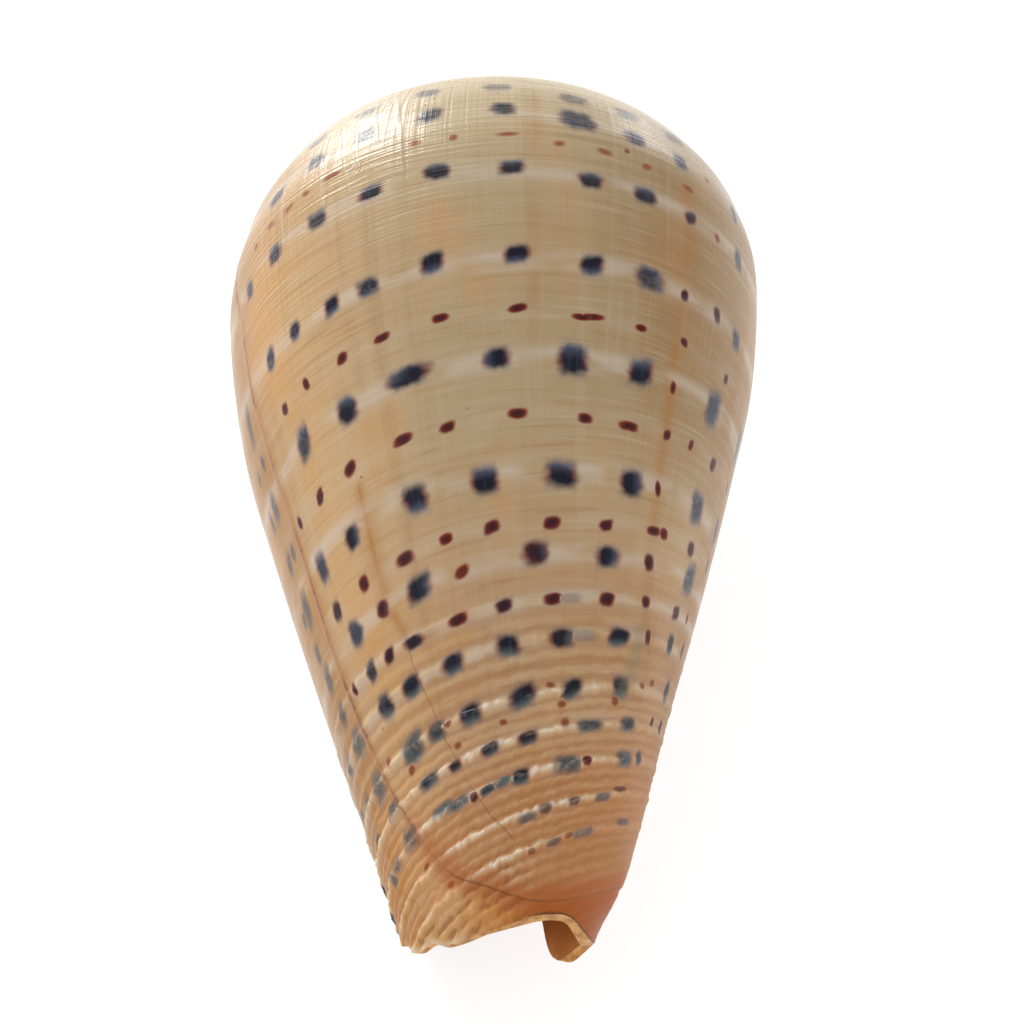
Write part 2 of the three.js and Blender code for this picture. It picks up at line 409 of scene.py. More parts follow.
        ownRadius, ownDrop, _ = bench.parts(sample(factor, 0, "Position"))
        onRamp = bench.math("LESS_THAN", factor, shoulderFactor + 1e-4)
        limit = marginAt(turn) / scale
        past = bench.math("GREATER_THAN", ownDrop, limit)
        drop = bench.math("MINIMUM", ownDrop, limit)
        girth = scale * bench.blend(past, ownRadius, byDrop(limit, 1, "flank"))
        rib = ribRise(turn, drop) * (1 - onRamp) * bench.math("GREATER_THAN", drop, shellForm["ribTop"])
        radius = girth + rib + flareRise(turn, scale * drop)
        radius = bench.math("MAXIMUM", radius, size["Columella radius"])
        radius = radius * notApex * (1 - onCap * 0.4) * (1 - onTip)
        rise, lean = spireRise(turn, girth, scale * drop)
        fullDrop = scale * drop - rise * onRamp - lean
        fullDrop = bench.blend(notApex, 0 - size["Apex rise"], fullDrop)
        fullDrop = bench.blend(onTip, fullDrop, size["Tip drop"])

        mesh = store(mesh, "turn", turn)
        mesh = store(mesh, "drop", drop)
        mesh = store(mesh, "rib", rib)
        mesh = store(mesh, "ramp", onRamp * (1 - factor / shoulderFactor))
        mesh = store(mesh, "toEdge", (limit - drop) * scale)
        return store(put(mesh, turn, radius, fullDrop), "inside", 0.0, "FACE")

    # a closed ring at each turn, down along the whorl before and up inside the wall
    def hollow():
        steps = shellForm["cavitySteps"]
        rows = shellForm["cavityRows"]
        ringLines = 2 * rows + 2
        mesh, step, line = grid(steps + 2, ringLines)
        line = line - ringLines * bench.math("GREATER_THAN", line, ringLines - 0.5)
        along = bench.clamp((step - 1) / steps)
        mouth = shellForm["mouthTurn"]
        turn = size["Lip turn"] + mouth - (size["Cavity turn"] + mouth) * along
        scale = bench.math("EXPONENT", rate * turn)
        onParietal = bench.math("LESS_THAN", line, rows + 0.5)
        share = bench.blend(onParietal, ringLines - 1 - line, line) / rows
        drop = bench.blend(bench.math("POWER", share, 1.3), size["Ceiling drop"], size["Floor drop"] / scale)
        before = (scale / size["Whorl growth"]) * byDrop(drop * size["Whorl growth"], 1, "flank")
        inFront = bench.math("GREATER_THAN", turn, size["Lip turn"])
        gap = bench.blend(inFront, 0 - size["Parietal cut"], shellForm["mouthGap"])
        parietal = bench.math("MAXIMUM", before + gap, shellForm["axisGap"])
        back = bench.clamp((size["Lip turn"] - turn) / size["Wall turn"])
        thinning = bench.span(turn, 5, 35, size["Margin thinning"], size["Edge thinning"])
        wall = bench.blend(back, size["Lip wall"], size["Inner wall"]) * (1 - thinning * share)
        within = scale * byDrop(drop, 1, "flank") - wall
        within = bench.math("MAXIMUM", within, shellForm["axisGap"] + shellForm["slitWidth"])
        closed = bench.math("LESS_THAN", step, 0.5) + bench.math("GREATER_THAN", step, steps + 1.5)
        radius = bench.blend(onParietal, within, parietal)
        radius = bench.blend(closed, radius, (parietal + within) * 0.5)
        mesh = store(mesh, "turn", turn)
        mesh = store(mesh, "drop", drop)
        return store(put(mesh, turn, radius, scale * drop), "inside", 1.0, "FACE")

    def canal():
        inputs = {"Vertices": 48, "Radius Top": 0.05, "Radius Bottom": size["Canal radius"],
                  "Depth": size["Canal length"]}
        cone = bench.take(bench.node("GeometryNodeMeshCone", inputs))
        shift = {"Geometry": cone, "Translation": bench.vector(0.0, 0.0, 0 - size["Canal drop"])}
        return store(bench.take(bench.node("GeometryNodeTransform", shift)), "inside", 1.0, "FACE")

    def layDown(carved):  # in metres
        tilt = (math.radians(shellForm["restPitch"] - 90), 0.0, 0.0)
        spin = {"Geometry": carved, "Rotation": (0.0, 0.0, math.radians(shellForm["restRoll"]))}
        turned = bench.take(bench.node("GeometryNodeTransform", spin))
        lay = {"Geometry": turned, "Rotation": tilt, "Scale": (mm, mm, mm),
               "Translation": tuple(mm * v for v in shellForm["axisOrigin"])}
        return bench.take(bench.node("GeometryNodeTransform", lay))

    def finish(laid):  # smooth but for its sharp edges, and glazed outside and in
        smooth = bench.take(bench.node("GeometryNodeSetShadeSmooth", {"Geometry": laid}, domain="FACE"))
        fold = bench.take(bench.node("GeometryNodeInputMeshEdgeAngle"), "Unsigned Angle")
        sharp = {"Geometry": smooth, "Selection": bench.math("GREATER_THAN", fold, math.radians(50)),
                 "Shade Smooth": False}
        creased = bench.take(bench.node("GeometryNodeSetShadeSmooth", sharp, domain="EDGE"))
        real = bench.take(bench.node("GeometryNodeRealizeInstances", {"Geometry": creased}))
        named = bench.node("GeometryNodeInputNamedAttribute", {"Name": "inside"}, data_type="FLOAT")
        outer = {"Geometry": real, "Material": size["Outer glaze"]}
        inner = {"Geometry": bench.take(bench.node("GeometryNodeSetMaterial", outer)),
                 "Material": size["Inner glaze"],
                 "Selection": bench.math("GREATER_THAN", bench.take(named), 0.5)}
        return bench.take(bench.node("GeometryNodeSetMaterial", inner))

    solid = {"Mesh 1": outerSheet()}
    cut = bench.node("GeometryNodeMeshBoolean", solid, operation="DIFFERENCE", solver="MANIFOLD")
    for tool in (hollow(), canal()):
        tree.links.new(tool.socket, cut.inputs["Mesh 2"])
    result = tree.nodes.new("NodeGroupOutput")
    tree.links.new(finish(layDown(bench.take(cut))).socket, result.inputs["Geometry"])
    return tree, values


def newGlaze(name):
    material = bpy.data.materials.new(name)
    material.use_nodes = True
    bench = Bench(material.node_tree)
    surface = material.node_tree.nodes["Principled BSDF"]
    return material, bench, surface


shellGlaze, outerBench, outerSurface = newGlaze("shellGlaze")
innerGlaze, innerBench, innerSurface = newGlaze("innerGlaze")


def growShell():
    tree, values = makeGrowthTree()
    seed = bpy.data.objects.new("coneShell", bpy.data.meshes.new("seed"))
    bpy.context.scene.collection.objects.link(seed)
    modifier = seed.modifiers.new("growth", "NODES")
    modifier.node_group = tree
    for identifier, value in values.items():
        modifier[identifier] = value
    bpy.context.view_layer.update()
    graph = bpy.context.evaluated_depsgraph_get()
    grown = bpy.data.meshes.new_from_object(seed.evaluated_get(graph), depsgraph=graph)
    seed.modifiers.remove(modifier)
    seed.data = grown
    bpy.data.objects.remove(growthRules)
    while grown.materials and grown.materials[0] is None:  # an empty slot that the cut leaves
        grown.materials.pop(index=0)
    return seed


shell = growShell()
mesh = shell.data
triangles = sum(len(face.vertices) - 2 for face in mesh.polygons)
print("shell grown:", len(mesh.vertices), "points,", triangles, "triangles")


# The skin of the shell, point by point: turn, length down the profile from the shoulder, and radius.
def readAll(items, key, width=1, kind=float):
    values = np.empty(width * len(items), dtype=kind)
    items.foreach_get(key, values)
    return values.reshape(-1, width) if width > 1 else values


def readValues(name):
    return readAll(mesh.attributes[name].data, "value")


def keepValues(name, values, domain="POINT"):
    kind = "FLOAT" if values.ndim == 1 else "FLOAT_VECTOR"
    key = "value" if values.ndim == 1 else "vector"
    mesh.attributes.new(name, kind, domain).data.foreach_set(key, values.ravel().astype(np.float32))


def coilFrame():
    pitch = math.radians(shellForm["restPitch"] - 90)
    roll = math.radians(shellForm["restRoll"])
    aboutX = np.array([
        [1, 0, 0],
        [0, math.cos(pitch), -math.sin(pitch)],
        [0, math.sin(pitch), math.cos(pitch)],
    ])
    aboutZ = np.array([
        [math.cos(roll), -math.sin(roll), 0],
        [math.sin(roll), math.cos(roll), 0],
        [0, 0, 1],
    ])
    return aboutX @ aboutZ


def fromCoil(places):  # places in metres, seen from the coil axis in millimetres
    return (np.atleast_2d(places) / mm - np.array(shellForm["axisOrigin"])) @ coilFrame()


pointTurn = readValues("turn")
pointDrop = readValues("drop")
pointRamp = readValues("ramp")
coilPlaces = fromCoil(readAll(mesh.vertices, "co", 3))


def fillCutPoints():  # a point that the cut has made gets its turn and drop from its place
    cutPoints = pointDrop == 0
    turn = np.degrees(np.arctan2(-coilPlaces[:, 0], -coilPlaces[:, 1]))
    turn = np.where(turn > shellForm["lipTurn"], turn - 360, turn)
    pointTurn[cutPoints] = turn[cutPoints]
    pointDrop[cutPoints] = (-coilPlaces[:, 2] / np.exp(growthRate * turn))[cutPoints]
    for name, values in (("turn", pointTurn), ("drop", pointDrop)):
        mesh.attributes[name].data.foreach_set("value", values.astype(np.float32))


fillCutPoints()
pointScale = np.exp(growthRate * pointTurn)
pointGirth = np.hypot(*coilPlaces[:, :2].T)
corners = readAll(mesh.loops, "vertex_index", kind=int)
faceStarts = readAll(mesh.polygons, "loop_start", kind=int)
faceCounts = readAll(mesh.polygons, "loop_total", kind=int)
insideFaces = readValues("inside") > 0.5


def downAt(drop):
    return np.interp(drop, flank[:, 1], flankLength)


pointDown = np.where(pointRamp > 0, -pointRamp * shoulderLength, downAt(pointDrop))


def faceMeans(values):
    return np.add.reduceat(values[corners], faceStarts) / faceCounts


rimRule = {"from": 92, "endward": 0.5, "edge": 1e-3}  # full drop, least lean and farthest from the edge


def markRim():  # the cut face round the narrow end
    lean = readAll(mesh.polygons, "normal", 3) @ (coilFrame() @ np.array([0, 0, -1]))
    low = faceMeans(-coilPlaces[:, 2]) > rimRule["from"]
    atEdge = faceMeans(readValues("toEdge")) < rimRule["edge"]
    rim = (lean > rimRule["endward"]) & ~insideFaces & low & atEdge
    keepValues("rim", rim.astype(float), "FACE")


markRim()

# Camera of the photo: 45 degrees down on the narrow end.
view = {
    "place": (-0.005, -0.18793, 0.2162),
    "aim": (0.00157, 0.00681, 0.02066),
    "lens": 77.0,
    "sensor": 36.0,
    "photoSide": 1024,  # pixels
}
sight = (Vector(view["aim"]) - Vector(view["place"])).to_track_quat("-Z", "Y")


def shellSkin():
    bpy.context.view_layer.update()
    return BVHTree.FromObject(shell, bpy.context.evaluated_depsgraph_get())


skin = shellSkin()


# A place read off the photo, in pixels, put on the shell: its turn and its full drop.
def onShell(x, y):
    half = view["photoSide"] / 2
    reach = view["sensor"] / 2 / view["lens"]
    ray = sight @ Vector(((x - half) / half * reach, (half - y) / half * reach, -1))
    hit = skin.ray_cast(Vector(view["place"]), ray)[0]
    if hit is None:
        raise ValueError(f"no shell at pixel {x}, {y}")
    across, back, rise = fromCoil(np.array(hit))[0]
    return math.degrees(math.atan2(-across, -back)), -rise


# Lines where growth stopped or the glaze cracked, as seen in the photo, in pixels. The old lip also runs on
# out of sight, by turn and full drop.
growthLines = {
    "oldLipAbove": [(80, 3), (77, 14), (72, 25)],
    "oldLip": [(251, 400), (266, 453), (284, 509), (303, 566), (318, 615), (331, 656), (351, 709),
               (369, 750), (390, 793), (415, 831), (450, 873), (486, 886), (529, 900), (562, 900),
               (590, 895), (614, 889)],
    "oldLipBeyond": [(-90, 98.6), (-140, 96), (-215, 90)],
    "cracks": [
        [(405, 635), (412, 663), (422, 686), (432, 708), (444, 738), (458, 763), (471, 787), (490, 815),
         (512, 837)],
        [(415, 938), (426, 943), (438, 945), (453, 944)],
        [(369, 815), (379, 831)],
        [(398, 890), (413, 901)],
        [(704, 450), (699, 478)],
    ],
    "ledge": 0.2,  # how far the newer side lies below the older
    "ledgeEdge": 0.5,
    "ledgeFade": 4.0,
    "grooveDepth": 0.06,
    "grooveHalf": 0.35,
    "amberStreaks": [  # strength, half width, places
        (0.9, 0.9, [(681, 262), (672, 388), (660, 472), (650, 560), (645, 640)]),
        (1.0, 0.6, [(359, 488), (372, 545), (389, 608), (404, 632)]),
        (0.6, 1.3, [(362, 500), (376, 560), (388, 605)]),
        (0.6, 0.7, [(535, 96), (534, 250), (533, 330)]),
        (1.0, 1.3, [(686, 190), (690, 235), (686, 290)]),
    ],
    "ridges": [
        [(398, 98), (400, 130), (403, 172)], [(321, 165), (324, 207)], [(284, 193), (282, 220), (285, 245)],
        [(347, 118), (344, 150), (349, 190)], [(378, 104), (377, 140)], [(362, 112), (358, 168)],
    ],
    "stain": [(638, 634), (637, 655), (630, 672), (625, 690)],
}


def lineDistance(knots):  # + on the newer side
    best = np.full(len(pointTurn), 1e3)
    side = np.ones(len(pointTurn))
    fullDrop = pointDrop * pointScale
    toMm = math.pi / 180 * pointGirth
    for (turnA, dropA), (turnB, dropB) in zip(knots[:-1], knots[1:]):
        startX = (turnA - pointTurn) * toMm
        startY = dropA - fullDrop
        runX = (turnB - turnA) * toMm
        runY = dropB - dropA
        share = np.clip(-(startX * runX + startY * runY) / (runX ** 2 + runY ** 2 + 1e-9), 0, 1)
        distance = np.hypot(startX + share * runX, startY + share * runY)
        nearer = distance < best
        best = np.where(nearer, distance, best)
        side = np.where(nearer, np.where(runX * startY > runY * startX, 1, -1), side)
    return np.where(pointRamp > 0, 1e3, best * side)


def seenLine(pixels, steps=1):
    places = splineThrough(pixels, steps) if steps > 1 else pixels
    return [onShell(x, y) for x, y in places]


def nearestLine(lines):
    distances = np.array([lineDistance(seenLine(line)) for line in lines])
    return np.take_along_axis(distances, np.argmin(np.abs(distances), axis=0)[None], axis=0)[0]


# A thin line is kept twice, with and without its side, so that it stays thin and ends where it should.
def keepLine(name, distance):
    keepValues(name, distance)
    keepValues(name + "Reach", np.abs(distance))


oldLip = growthLines["oldLipAbove"] + seenLine(growthLines["oldLip"], 5) + growthLines["oldLipBeyond"]
scar = lineDistance(oldLip)
crack = nearestLine(growthLines["cracks"])
amber = np.max([strength * np.exp(-(lineDistance(seenLine(places)) / half) ** 2)
                for strength, half, places in growthLines["amberStreaks"]], axis=0)
keepValues("down", pointDown)
keepValues("girth", pointGirth)
keepValues("amber", amber)
keepValues("stain", np.abs(nearestLine([growthLines["stain"]])))
keepLine("scar", scar)
keepLine("crack", crack)
keepLine("ridge", nearestLine(growthLines["ridges"]))


def carveOldLip():
    outer = np.ones(len(mesh.vertices))
    outer[corners[np.repeat(insideFaces, faceCounts)]] = 0
    newer = np.clip(scar / growthLines["ledgeEdge"] + 0.5, 0, 1)
    step = -growthLines["ledge"] * newer * np.exp(-np.maximum(scar, 0) / growthLines["ledgeFade"])
    nearest = np.minimum(np.abs(scar), np.abs(crack))
    groove = -growthLines["grooveDepth"] * np.exp(-(nearest / growthLines["grooveHalf"]) ** 2)
    normals = readAll(mesh.vertices, "normal", 3)
    places = readAll(mesh.vertices, "co", 3) + normals * ((step + groove) * outer)[:, None] * mm
    mesh.vertices.foreach_set("co", places.ravel())
    mesh.update()


carveOldLip()
print("growth lines carved")

# Marks in rows round the shell. A row's marks are placed where the photo shows them, by pixel, and each may
# bring its own width and height in millimetres, its ink and the way it fades. Ink goes from -1 rust over
# 0 red-brown and 1 blue-black to 2 slate. A row goes on out of sight at its own gap, in degrees.
upward = (0.0, -1.0)
downward = (0.0, 1.0)
leftward = (1.0, 0.0)
rightward = (-1.0, 0.0)
even = (0.0, 0.0)
markRows = [
    {"wide": 2.9, "tall": 1.9, "ink": 1.5, "strength": 0.6, "band": 0.3, "gap": 15, "fade": even,
     "seen": [(317, 143), (366, 114), (427, 94), (497, 87), (573, 98), (626, 113), (672, 136)]},
    {"wide": 2.7, "tall": 2.1, "ink": 1.15, "strength": 0.92, "band": 0.5, "gap": 14, "fade": leftward,
     "seen": [(276, 200), (315, 164), (365, 137, 2.6, 2.2, 1.6), (430, 116), (503, 109),
              (578, 119, 4.0, 2.9, 1.3), (635, 137), (680, 160, 2.0, 2.2, 1.3), (733, 211, 1.6, 2.4, 1.5)]},
    {"wide": 1.6, "tall": 0.8, "ink": -0.8, "strength": 0.85, "band": 0.0, "gap": 10, "fade": even,
     "seen": [(256, 249, 0.9, 0.9), (271, 227), (289, 210), (306, 195, 1.1, 0.8), (332, 177, 2.4, 0.8),
              (415, 144), (453, 138, 1.1, 0.9), (507, 134, 2.4, 0.6), (560, 143, 1.3, 0.8),
              (605, 151, 1.9, 0.8), (647, 166, 1.2, 0.9), (688, 187), (706, 178, 0.9, 1.0)]},
    {"wide": 2.8, "tall": 1.8, "ink": 1.0, "strength": 0.95, "band": 0.7, "gap": 14, "fade": upward,
     "seen": [(250, 291, 1.6, 2.2, 1.3), (275, 255, 2.4, 2.2, 1.2), (317, 221, 2.6, 2.1, 1.2),
              (371, 193, 2.9, 1.6), (437, 172), (512, 167, 2.8, 1.7), (591, 180), (645, 195, 2.8, 1.9),
              (691, 217, 1.8, 1.7, 0.8), (738, 258, 1.8, 2.6, 1.5)]},
    {"wide": 2.6, "tall": 2.2, "ink": 1.0, "strength": 1.0, "band": 0.8, "gap": 13, "fade": downward,
     "seen": [(271, 360, 1.7, 2.5, 1.3), (295, 331, 1.7, 2.1, 1.2), (332, 306, 2.1, 2.1, 1.0),
              (368, 288, 2.6, 2.1, 1.2), (432, 263), (517, 254, 2.6, 2.0), (593, 265, 2.6, 2.2),
              (650, 279, 3.5, 2.4, 1.35, rightward), (685, 295, 1.2, 1.4, 0.6), (717, 315, 1.4, 1.9, 0.6),
              (736, 340, 2.0, 2.3, 1.4)]},
    {"wide": 1.9, "tall": 1.1, "ink": 0.15, "strength": 1.0, "band": 0.2, "gap": 12, "fade": even,
     "seen": [(285, 409, 1.2, 1.6, 0.4), (306, 384, 1.1, 1.6), (342, 359, 1.5, 1.4), (382, 338, 2.3, 1.1),
              (440, 318, 2.1, 1.1), (518, 308, 2.1, 1.0), (583, 317, 2.9, 0.9, 0.0),
              (592, 317, 2.9, 0.9, 0.0), (641, 328, 1.7, 0.9, 0.0), (684, 342, 1.3, 1.1, 0.3),
              (726, 379, 1.0, 1.4, 0.4)]},
    {"wide": 3.0, "tall": 2.8, "ink": 1.0, "strength": 1.0, "band": 0.8, "gap": 17, "fade": upward,
     "seen": [(304, 443, 2.3, 3.4, 1.3), (347, 410, 2.7, 2.8), (408, 376, 4.6, 2.1, 1.0, (0.9, -0.5)),
              (496, 358, 3.0, 2.1, 1.0, leftward), (573, 360, 3.2, 3.1), (640, 372, 3.0, 2.7),
              (673, 388, 0.9, 1.6, 0.0), (713, 409, 2.7, 3.8, 1.5, rightward), (738, 446, 1.8, 4.2, 1.8)]},
    {"wide": 2.1, "tall": 1.3, "ink": 0.2, "strength": 1.0, "band": 0.2, "gap": 12, "fade": even,
     "seen": [(320, 497, 1.3, 1.8, 0.5), (350, 469, 1.8, 1.7), (402, 440, 2.5, 1.3), (448, 427, 1.9, 1.3),
              (518, 413, 2.1, 1.3), (585, 418, 1.8, 1.2), (629, 426, 2.5, 1.2, 0.1), (667, 435, 1.1, 1.4),
              (691, 445, 0.9, 1.4, 0.0), (713, 465, 1.5, 1.8, 0.5), (727, 488, 0.8, 1.8, 0.6)]},
    {"wide": 2.8, "tall": 2.7, "ink": 1.0, "strength": 1.0, "band": 0.8, "gap": 18, "fade": upward,
     "seen": [(300, 523, 0.9, 1.6, 0.5), (322, 568, 1.9, 3.1, 1.3), (352, 538, 2.2, 2.4, 1.0, rightward),
              (415, 500, 2.7, 2.9, 1.0, downward), (485, 480, 2.6, 2.7), (561, 474, 3.3, 2.7),
              (632, 483, 2.8, 2.7, 1.0, rightward), (658, 489, 0.9, 1.8, 0.1), (697, 508, 2.5, 3.4, 1.5),
              (716, 531, 1.4, 3.2, 1.6)]},
    {"wide": 1.9, "tall": 1.5, "ink": 0.3, "strength": 1.0, "band": 0.3, "gap": 14, "fade": even,
     "seen": [(337, 611, 1.4, 2.3, 0.7), (364, 584, 1.5, 2.0), (405, 559, 2.3, 1.5, 0.4),
              (446, 539, 1.7, 1.4, 0.0), (492, 527, 1.8, 1.5), (552, 523, 2.0, 1.4), (607, 525, 1.7, 1.4),
              (654, 531, 1.9, 1.2, 0.2), (664, 534, 1.3, 1.4, 0.0), (691, 549, 1.5, 1.7, 0.6),
              (707, 567, 0.8, 2.0, 0.5)]},
    {"wide": 2.7, "tall": 2.2, "ink": 1.0, "strength": 1.0, "band": 0.7, "gap": 18, "fade": rightward,
     "seen": [(356, 634, 2.1, 2.6, 1.3), (383, 609, 1.7, 1.9, 0.4), (420, 588, 2.8, 2.5, 1.0),
              (462, 572, 1.6, 1.4, -0.2), (536, 553, 2.8, 2.4, 0.7),
              (608, 557, 2.8, 2.1), (649, 563, 1.5, 1.8, 0.4), (689, 580, 2.4, 3.1, 1.6)]},
    {"wide": 1.8, "tall": 1.4, "ink": 0.5, "strength": 1.0, "band": 0.6, "gap": 12, "fade": even,
     "seen": [(354, 689, 0.9, 1.6, 0.4), (371, 671, 1.4, 2.0, 1.2), (389, 655, 1.5, 1.6, 0.7),
              (413, 642, 2.4, 1.3, 0.9), (458, 619, 2.2, 1.3, 0.3), (504, 605, 1.8, 1.4, 0.7),
              (553, 599, 2.2, 1.3, 0.3), (607, 599, 1.9, 1.5, 0.4), (646, 602, 1.3, 1.4, 0.4),
              (676, 613, 1.4, 1.7, 0.6), (687, 619, 0.7, 1.6, 0.0)]},
    {"wide": 2.3, "tall": 1.8, "ink": 1.0, "strength": 1.0, "band": 0.6, "gap": 16, "fade": downward,
     "seen": [(385, 706, 2.0, 2.4, 1.1), (411, 686, 2.3, 2.1), (452, 664, 2.4, 1.9), (508, 645, 2.5, 2.0),
              (562, 637, 2.7, 1.8, 0.9, rightward), (619, 637, 2.4, 1.7), (648, 637, 1.0, 1.9, 0.2),
              (670, 645, 1.3, 2.0, 1.1), (682, 651, 0.8, 2.0, 0.6)]},
    {"wide": 2.2, "tall": 1.9, "ink": 1.0, "strength": 1.0, "band": 0.4, "gap": 15, "fade": downward,
     "seen": [(412, 748, 2.8, 2.6, 1.6), (435, 731, 2.0, 1.7, 1.3), (470, 713, 2.3, 2.0),
              (523, 695, 2.7, 2.2), (572, 688, 2.0, 1.9), (621, 687, 2.2, 2.1, 1.1),
              (666, 692, 1.2, 2.2, 1.2)]},
    {"wide": 0.9, "tall": 0.8, "ink": -0.6, "strength": 0.9, "band": 0.0, "gap": 0, "fade": even,
     "seen": [(447, 724), (551, 685), (562, 704), (615, 701, 1.0, 1.1), (652, 683), (642, 686),
              (565, 723, 1.0, 1.1), (503, 722, 0.8, 0.6), (627, 150, 0.7, 0.7), (717, 237, 1.1, 1.3),
              (412, 770, 1.0, 1.0), (389, 763, 0.8, 1.2), (458, 746, 0.9, 0.8), (426, 867, 0.8, 0.6),
              (450, 885, 0.8, 0.6)]},
    {"wide": 2.0, "tall": 1.2, "ink": 0.9, "strength": 1.0, "band": 0.3, "gap": 14, "fade": downward,
     "seen": [(428, 780, 2.4, 1.2, 1.2), (455, 765, 1.4, 1.1, 0.8), (490, 748, 1.8, 1.2),
              (528, 737, 2.0, 1.3), (590, 725, 2.6, 1.2, 1.4), (628, 724, 2.1, 1.3, 1.4),
              (652, 722, 0.8, 1.2, 0.1), (660, 727, 0.8, 1.6, 0.9)]},
    {"wide": 2.2, "tall": 1.1, "ink": 1.0, "strength": 1.0, "band": 0.3, "gap": 11, "fade": downward,
     "seen": [(443, 809, 2.4, 1.0, 1.9), (458, 802, 2.8, 1.0, 1.5), (473, 796, 0.9, 1.0, 0.2),
              (488, 789, 1.7, 0.8, 1.2), (503, 781, 2.6, 0.9, 2.0), (520, 775, 1.8, 1.4),
              (568, 763, 2.7, 1.5, 1.6, rightward), (587, 760, 1.3, 1.1, 0.1), (625, 758, 2.2, 1.5, 1.7),
              (639, 758, 1.0, 1.3, 1.5)]},
    {"wide": 1.5, "tall": 0.8, "ink": 0.8, "strength": 0.75, "band": 0.2, "gap": 11, "fade": even,
     "seen": [(527, 818, 1.8, 0.7, 1.6), (545, 808, 1.3, 0.9, 0.7), (575, 800, 1.2, 0.8, 0.8),
              (604, 796, 1.8, 0.8, 1.6), (620, 789, 2.2, 0.6, 0.4)]},
    {"wide": 1.5, "tall": 0.7, "ink": 0.8, "strength": 0.65, "band": 0.2, "gap": 10, "fade": even,
     "seen": [(532, 851, 0.9, 0.6, 0.0), (554, 842, 1.5, 0.6, 1.2), (569, 835, 1.0, 0.6, 0.0),
              (584, 832, 2.2, 0.8, 1.6), (623, 822, 2.2, 0.7, 1.5)]},
    # pale tails
    {"wide": 2.8, "tall": 0.9, "ink": 1.25, "strength": 0.34, "band": 0.0, "gap": 0, "fade": even,
     "seen": [(570, 598), (582, 636, 3.2, 1.1)]},
    # new growth
    {"wide": 1.4, "tall": 2.4, "ink": 1.75, "strength": 0.8, "band": 0.0, "gap": 0, "fade": upward,
     "seen": [(249, 427, 1.5, 4.4), (262, 464, 1.0, 1.8), (259, 480, 0.9, 1.6), (274, 508, 1.7, 3.4),
              (272, 524, 1.2, 2.4), (289, 564), (292, 553, 1.0, 1.8), (306, 610, 1.9, 3.6),
              (304, 621, 1.2, 1.6), (317, 654, 1.4, 2.2), (328, 681, 1.7, 2.8), (341, 715),
              (357, 743, 2.3, 2.7), (348, 766, 1.7, 2.0), (376, 786, 2.4, 2.8), (367, 802, 1.4, 1.7),
              (393, 809, 2.0, 1.6), (363, 817, 1.1, 1.6), (410, 838, 2.3, 2.0, 1.5, upward),
              (378, 840, 1.6, 1.4), (394, 864, 1.9, 1.2), (392, 879, 1.2, 1.4)]},
]
markFill = {"seed": 11, "spread": 0.3, "leftFrom": 102, "rightFrom": -84, "tilted": 60, "bandHalf": 1.1,
            "spireGap": 17, "spireWide": 3.4, "spireTall": 3.0, "spireInk": 0.7, "spireStrength": 0.8}


# The marks that the photo shows, and the line of each row: its drop at the middle of the back and its slant.
def seenMarks(row):
    usual = (row["wide"], row["tall"], row["ink"], row["fade"])
    marks = []
    for x, y, *own in row["seen"]:
        wide, tall, ink, fade = tuple(own) + usual[len(own):]
        turn, fullDrop = onShell(x, y)
        marks.append((turn, fullDrop / math.exp(growthRate * turn), wide, tall, ink, fade))
    row["slant"], row["drop"] = np.polyfit([m[0] for m in marks], [m[1] for m in marks], 1)
    return marks


def layMarks():
    draw = random.Random(markFill["seed"])
    toLip = (markFill["leftFrom"], shellForm["lipTurn"], 1)
    toBody = (markFill["rightFrom"], bodyTurn, -1)
    marks = []

    def lay(turn, down, wide, tall, ink, strength, fade):
        marks.append((turn, down, draw.random(), wide, tall, ink, strength, *fade))

    for row in markRows:
        for turn, drop, wide, tall, ink, fade in seenMarks(row):
            lay(turn, downAt(drop), wide, tall, ink, row["strength"], fade)
        if not row["gap"]:
            continue
        for start, stop, way in (toLip, toBody):
            turn = start + way * row["gap"] * draw.random()
            while way * (stop - turn) > 2:
                ease = row["slant"] * max(min(turn, markFill["tilted"]), -markFill["tilted"])
                wide = row["wide"] * draw.uniform(1 - markFill["spread"], 1 + markFill["spread"])
                tall = row["tall"] * draw.uniform(0.85, 1.15)
                down = downAt(row["drop"] + ease)
                lay(turn, down, wide, tall, row["ink"], row["strength"], row["fade"])
                turn += way * row["gap"] * draw.uniform(0.75, 1.3)
    turn = shellForm["lipTurn"] - 6
    while turn > bodyTurn - 360 * (shellForm["spireWhorls"] - 1):  # blotches on the spire ramps
        down = -shoulderLength * draw.uniform(0.35, 0.6)
        wide = markFill["spireWide"] * draw.uniform(0.7, 1.4)
        lay(turn, down, wide, markFill["spireTall"], markFill["spireInk"], markFill["spireStrength"], even)
        turn -= markFill["spireGap"] * draw.uniform(0.7, 1.35)
    return np.array(marks)


# Every face learns its nearest mark, so that the glaze can draw the mark's edge finer than the mesh.
def giveFacesMarks():
    marks = layMarks()
    faceTurn = faceMeans(pointTurn)
    faceDown = faceMeans(pointDown)
    faceGirth = faceMeans(pointGirth)
    faceScale = np.exp(growthRate * faceTurn)
    best = np.full(len(faceTurn), 1e9)
    nearest = np.zeros(len(faceTurn), dtype=int)
    for i, (turn, down, _, wide, tall, *_) in enumerate(marks):
        across = (faceTurn - turn) * math.pi / 180 * faceGirth / wide
        along = (faceDown - down) * faceScale / tall
        distance = across ** 2 + along ** 2
        nearer = distance < best
        best[nearer] = distance[nearer]
        nearest[nearer] = i
    own = marks[nearest]
    keepValues("markPlace", own[:, 0:3], "FACE")
    keepValues("markForm", own[:, 3:6], "FACE")
    keepValues("markTone", own[:, 6:9], "FACE")
    return len(marks)


